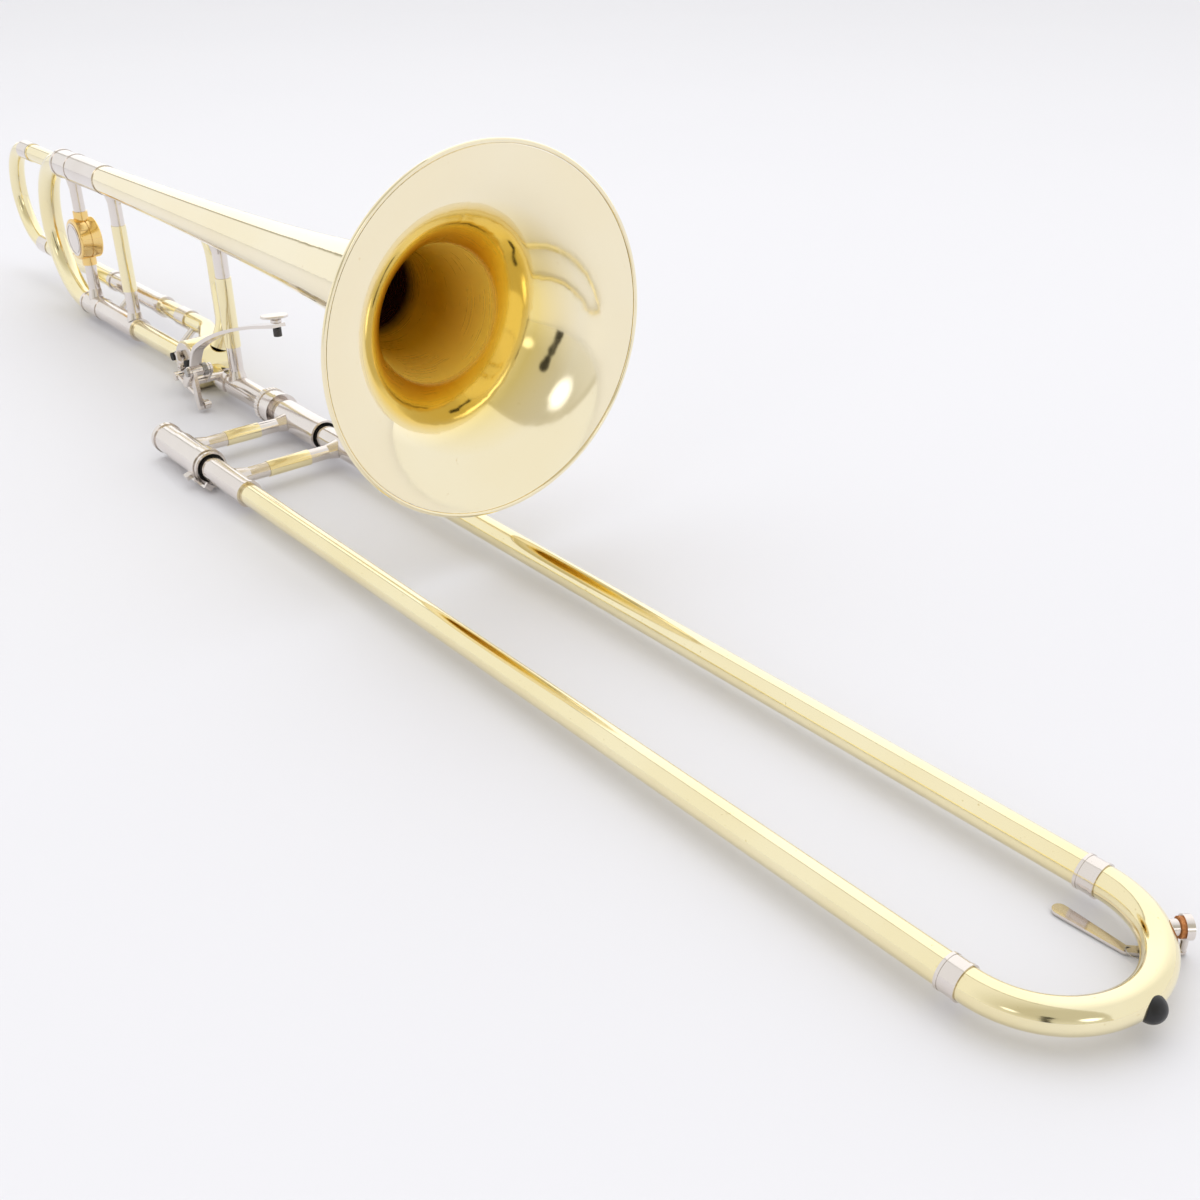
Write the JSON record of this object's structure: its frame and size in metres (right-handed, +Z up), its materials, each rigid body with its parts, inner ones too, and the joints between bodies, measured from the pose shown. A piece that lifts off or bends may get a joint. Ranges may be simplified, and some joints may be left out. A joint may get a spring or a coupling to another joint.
{
  "type": "trombone",
  "caption": "Tenor trombone with a thumb-operated rotary valve and open F loop, a sliding U tube, flared bell, tuning slides and counterweight, resting level on its slide.",
  "frame": {"origin": "centre of the bounding box's bottom face, under the middle of the instrument's length on the bell's upright plane", "axes": "+X along the tubes towards the slide's bow and out of the bell's mouth, +Y towards the F loop's side, +Z up from the slide's plane to the bell"},
  "size_m": [1.3602, 0.216, 0.248],
  "materials": {
    "lacquered_brass": "polished and clear lacquered",
    "nickel_silver": "polished nickel silver, clear lacquered",
    "chromed_tube": "hard chrome, ground and polished",
    "gold_plate": "warm gold lacquer",
    "black_cork": "matt",
    "black_rubber": "satin moulded",
    "orange_pad": "matt",
    "steel": "turned",
    "dark_steel": "blackened"
  },
  "bodies": {
    "instrument": {"bell_flare": "lacquered_brass", "bell_rim_bead": "lacquered_brass", "bell_stem": "lacquered_brass", "bell_brace_feet": "nickel_silver", "bell_brace_tubes": "lacquered_brass", "tuning_sleeves": "nickel_silver", "gooseneck_tube": "lacquered_brass", "valve_casing": "lacquered_brass", "valve_knuckle": "lacquered_brass", "valve_cap": "lacquered_brass", "valve_plates": "nickel_silver", "valve_stop_corks": "black_cork", "slide_receiver": "nickel_silver", "f_upper_tube": "lacquered_brass", "f_upper_sleeve": "lacquered_brass", "f_lower_tube": "lacquered_brass", "f_lower_sleeve": "nickel_silver", "f_loop_bands": "nickel_silver", "f_loop_stays": "nickel_silver", "trigger_saddle": "nickel_silver", "trigger_pin": "steel", "trigger_spring": "steel", "slide_tenon": "nickel_silver", "cork_barrels": "nickel_silver", "barrel_liners": "black_cork", "inner_slide_tubes": "chromed_tube", "inner_brace_feet": "nickel_silver", "inner_brace_tube": "lacquered_brass", "mouthpiece_receiver": "nickel_silver", "leadpipe": "lacquered_brass"},
    "outer_slide": {"outer_slide_tubes": "lacquered_brass", "outer_slide_oversleeves": "nickel_silver", "outer_brace_feet": "nickel_silver", "outer_brace_tube": "lacquered_brass", "bow_ferrules": "nickel_silver", "slide_bow": "lacquered_brass", "bow_bumper": "black_rubber", "water_key_nozzle": "nickel_silver", "water_key_saddle": "nickel_silver", "water_key_pin": "steel"},
    "water_key": {"water_key_lever": "nickel_silver", "water_key_cork": "orange_pad"},
    "tuning_slide": {"tuning_legs": "nickel_silver", "tuning_ferrules": "nickel_silver", "tuning_bow": "lacquered_brass", "tuning_brace": "nickel_silver", "counterweight": "gold_plate", "counterweight_plate": "nickel_silver"},
    "f_slide": {"f_slide_legs": "nickel_silver", "f_slide_ferrules": "nickel_silver", "f_slide_long_sleeve": "lacquered_brass", "f_slide_bow": "lacquered_brass"},
    "rotor": {"rotor": "nickel_silver", "rotor_stop_arm": "nickel_silver"},
    "trigger": {"trigger_lever": "nickel_silver", "thumb_paddle": "nickel_silver", "paddle_screw": "dark_steel"},
    "linkage": {"link_rod": "nickel_silver"},
    "lock_nut": {"bell_lock_nut": "nickel_silver"},
    "lock_ring": {"slide_lock_ring": "nickel_silver"}
  },
  "joints": [
    {"name": "slide_travel", "type": "slide", "parent": "instrument", "child": "outer_slide", "axis": [1, 0, 0], "range_m": [0, 0.56]},
    {"name": "water_key_hinge", "type": "hinge", "parent": "outer_slide", "child": "water_key", "pos_m": [0.65255, -0.00854, 0.0032], "axis": [-0.788, 0.6157, 0], "range_deg": [0, 20], "stiffness_Nm_per_rad": 0.05, "springref_deg": -28.65},
    {"name": "tuning_slide_travel", "type": "slide", "parent": "instrument", "child": "tuning_slide", "axis": [-1, 0, 0], "range_m": [0, 0.045]},
    {"name": "f_slide_travel", "type": "slide", "parent": "instrument", "child": "f_slide", "axis": [-1, 0, 0], "range_m": [0, 0.06]},
    {"name": "trigger_hinge", "type": "hinge", "parent": "instrument", "child": "trigger", "pos_m": [-0.15215, -0.0275, 0.032], "axis": [0, 1, 0], "range_deg": [0, 20], "stiffness_Nm_per_rad": 0.4, "springref_deg": -22.92},
    {"name": "rotor_turn", "type": "hinge", "parent": "instrument", "child": "rotor", "pos_m": [-0.20215, 0, 0.02], "axis": [0, 1, 0], "range_deg": [0, 90]},
    {"name": "link_turn", "type": "hinge", "parent": "trigger", "child": "linkage", "pos_m": [-0.14746, -0.0275, 0.00541], "axis": [0, 1, 0], "range_deg": [-20, 0]},
    {"name": "lock_nut_turn", "type": "hinge", "parent": "instrument", "child": "lock_nut", "pos_m": [-0.08415, 0, 0.0135], "axis": [1, 0, 0], "continuous": true},
    {"name": "slide_lock_turn", "type": "hinge", "parent": "instrument", "child": "lock_ring", "pos_m": [-0.01615, -0.088, 0.0135], "axis": [1, 0, 0], "range_deg": [0, 40]}
  ],
  "couplings": [
    {"joint": "rotor_turn", "follows": "trigger_hinge", "ratio": 4.5},
    {"joint": "link_turn", "follows": "trigger_hinge", "ratio": -1}
  ]
}
